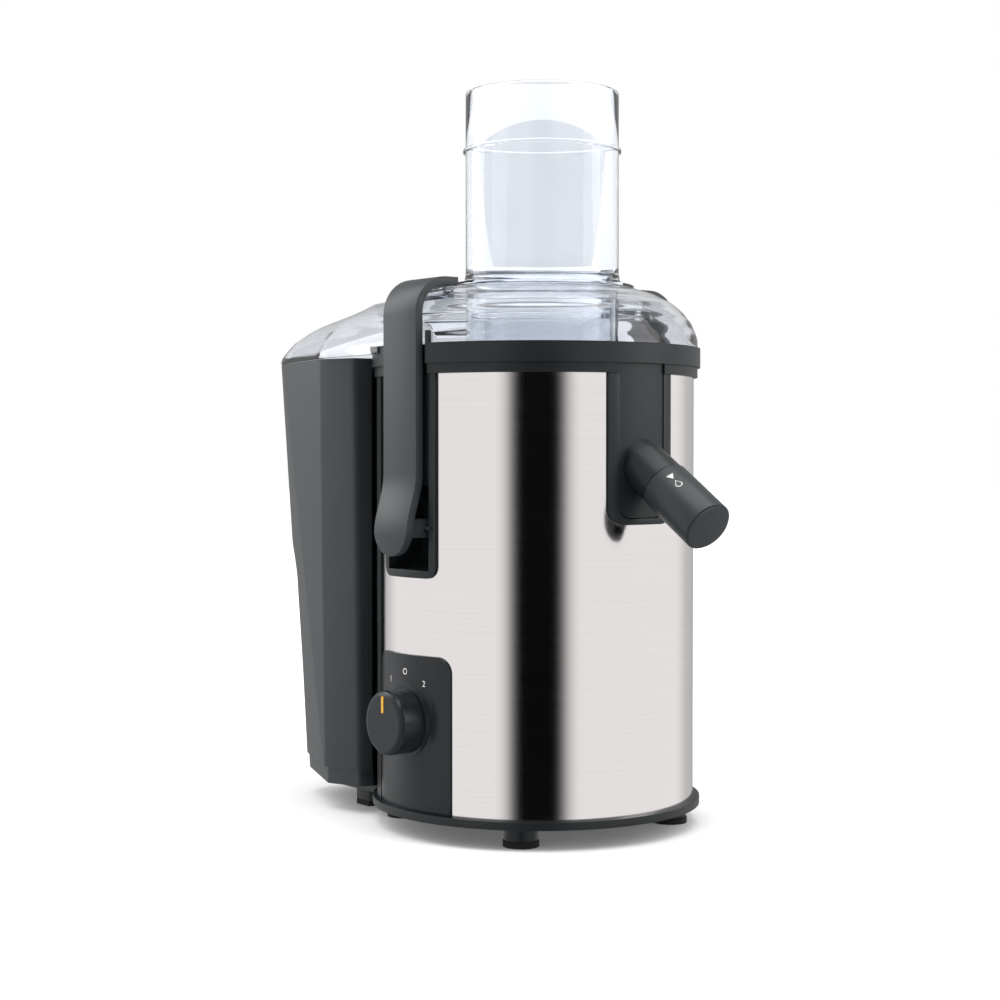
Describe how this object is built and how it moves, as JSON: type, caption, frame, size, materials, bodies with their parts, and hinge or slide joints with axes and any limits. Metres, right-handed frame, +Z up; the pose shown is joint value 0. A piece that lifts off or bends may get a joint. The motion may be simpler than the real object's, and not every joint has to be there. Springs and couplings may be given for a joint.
{
  "type": "centrifugal juicer",
  "caption": "Upright centrifugal juicer with a steel-wrapped motor body, clear lid and wide feed tube, swivelling spout nozzle, locking arms and a rear pulp container.",
  "frame": {"origin": "on the motor axis, on the table plane under the feet", "axes": "+Z up the motor axis, +X towards the juice spout, -X towards the pulp container, -Y towards the speed knob"},
  "size_m": [0.3025, 0.1907, 0.378],
  "materials": {
    "dark_plastic": "fine satin moulding",
    "arm_plastic": "fine satin moulding",
    "container_plastic": "smooth satin moulding",
    "panel_gloss": "polished black",
    "inner_plastic": "plain moulding",
    "clear_plastic": "clear moulded plastic",
    "brushed_wrap": "horizontal fine brushing",
    "stainless": "bright",
    "screw_steel": "zinc plated",
    "motor_iron": "lacquered laminations",
    "copper": "enamelled copper",
    "soft_rubber": "matt",
    "carbon": "pressed carbon",
    "board": "green laminate",
    "pointer_gold": "gold print"
  },
  "bodies": {
    "root": {"base": "dark_plastic", "rubber_feet": "soft_rubber", "leg_pads": "soft_rubber", "base_screws": "screw_steel", "motor_housing": "inner_plastic", "steel_wrap": "brushed_wrap", "rear_cover": "dark_plastic", "cord_gland": "soft_rubber", "top_trim": "dark_plastic", "spout_frame": "dark_plastic", "front_arm_recess": "dark_plastic", "back_arm_recess": "dark_plastic", "control_panel": "panel_gloss", "speed_switch": "inner_plastic", "control_board": "board", "front_interlock_switch": "inner_plastic", "back_interlock_switch": "inner_plastic", "motor_deck": "inner_plastic", "shaft_seal": "soft_rubber", "motor_mounts": "soft_rubber", "mount_screws": "screw_steel", "lower_bracket": "motor_iron", "upper_bracket": "motor_iron", "lower_bearing": "stainless", "upper_bearing": "stainless", "stator": "motor_iron", "field_coils": "copper", "brush_holders": "inner_plastic", "carbon_brushes": "carbon", "motor_bolts": "screw_steel", "juice_bowl": "dark_plastic", "nozzle_seal": "soft_rubber", "lid": "clear_plastic", "feed_tube": "clear_plastic", "front_hinge_pin": "stainless", "back_hinge_pin": "stainless"},
    "rotor": {"motor_shaft": "stainless", "armature": "motor_iron", "armature_windings": "copper", "commutator": "copper", "cooling_fan": "inner_plastic", "drive_coupling": "inner_plastic", "basket_base": "inner_plastic", "grater_disc": "stainless", "filter_mesh": "stainless", "basket_rim": "inner_plastic"},
    "front_arm": {"front_arm": "arm_plastic"},
    "back_arm": {"back_arm": "arm_plastic"},
    "knob": {"speed_knob": "panel_gloss", "knob_pointer": "pointer_gold", "switch_spindle": "stainless"},
    "nozzle": {"drip_nozzle": "arm_plastic"},
    "pulp_container": {"pulp_container": "container_plastic"}
  },
  "joints": [
    {"name": "rotor_spin", "type": "hinge", "parent": "root", "child": "rotor", "pos_m": [0, 0, 0.1], "axis": [0, 0, 1], "continuous": true},
    {"name": "front_arm_hinge", "type": "hinge", "parent": "root", "child": "front_arm", "pos_m": [0, -0.08, 0.155], "axis": [1, 0, 0], "range_deg": [0, 70]},
    {"name": "back_arm_hinge", "type": "hinge", "parent": "root", "child": "back_arm", "pos_m": [0, 0.08, 0.155], "axis": [-1, 0, 0], "range_deg": [0, 70]},
    {"name": "knob_turn", "type": "hinge", "parent": "root", "child": "knob", "pos_m": [0, -0.085, 0.0587], "axis": [0, -1, 0], "range_deg": [-33, 33]},
    {"name": "nozzle_turn", "type": "hinge", "parent": "root", "child": "nozzle", "pos_m": [0.084, 0, 0.186], "axis": [0.8387, 0, -0.5446], "range_deg": [0, 90]},
    {"name": "container_slide", "type": "slide", "parent": "root", "child": "pulp_container", "axis": [-1, 0, 0], "range_m": [0, 0.18]}
  ]
}
